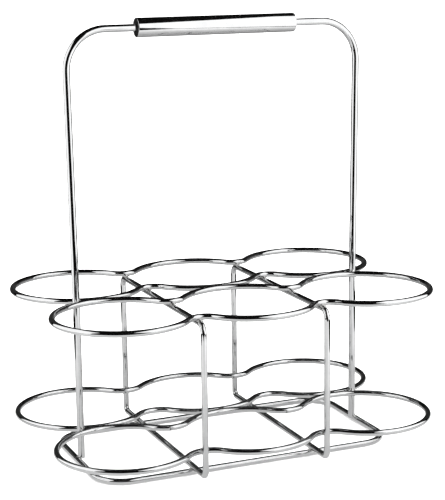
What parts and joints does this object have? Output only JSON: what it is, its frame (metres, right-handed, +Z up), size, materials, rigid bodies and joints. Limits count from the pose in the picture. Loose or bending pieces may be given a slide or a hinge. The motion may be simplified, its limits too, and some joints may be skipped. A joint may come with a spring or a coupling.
{
  "type": "wine rack",
  "caption": "Chromed wire bottle carrier: lobed ring rows on a lower and an upper level, cross frames, a rounded base loop and a tall hoop handle with a turning tube grip.",
  "frame": {"origin": "on the table plane under the middle of the rack, where the base frame rests", "axes": "+X to the right along the rows of three bottles, +Y to the back row, +Z up to the handle"},
  "size_m": [0.2844, 0.1974, 0.3137],
  "materials": {
    "chrome_wire": "bright chrome plate on drawn steel wire",
    "polished_tube": "polished steel tube with fine drawing lines along it",
    "black_plastic": "black moulded plastic, slightly satin",
    "weld_metal": "chrome plate over slightly rough weld metal"
  },
  "bodies": {
    "rack": {"upper_back_row": "chrome_wire", "upper_front_row": "chrome_wire", "lower_back_row": "chrome_wire", "lower_front_row": "chrome_wire", "left_post_frame": "chrome_wire", "right_post_frame": "chrome_wire", "base_frame": "chrome_wire", "handle_hoop": "chrome_wire", "row_welds": "weld_metal", "crossbar_welds": "weld_metal", "post_welds": "weld_metal", "leg_welds": "weld_metal", "leg_foot_welds": "weld_metal", "base_welds": "weld_metal"},
    "grip": {"grip_tube": "polished_tube", "left_grip_bush": "black_plastic", "right_grip_bush": "black_plastic"}
  },
  "joints": [
    {"name": "grip_turn", "type": "hinge", "parent": "rack", "child": "grip", "pos_m": [0, 0, 0.307], "axis": [1, 0, 0], "continuous": true}
  ]
}
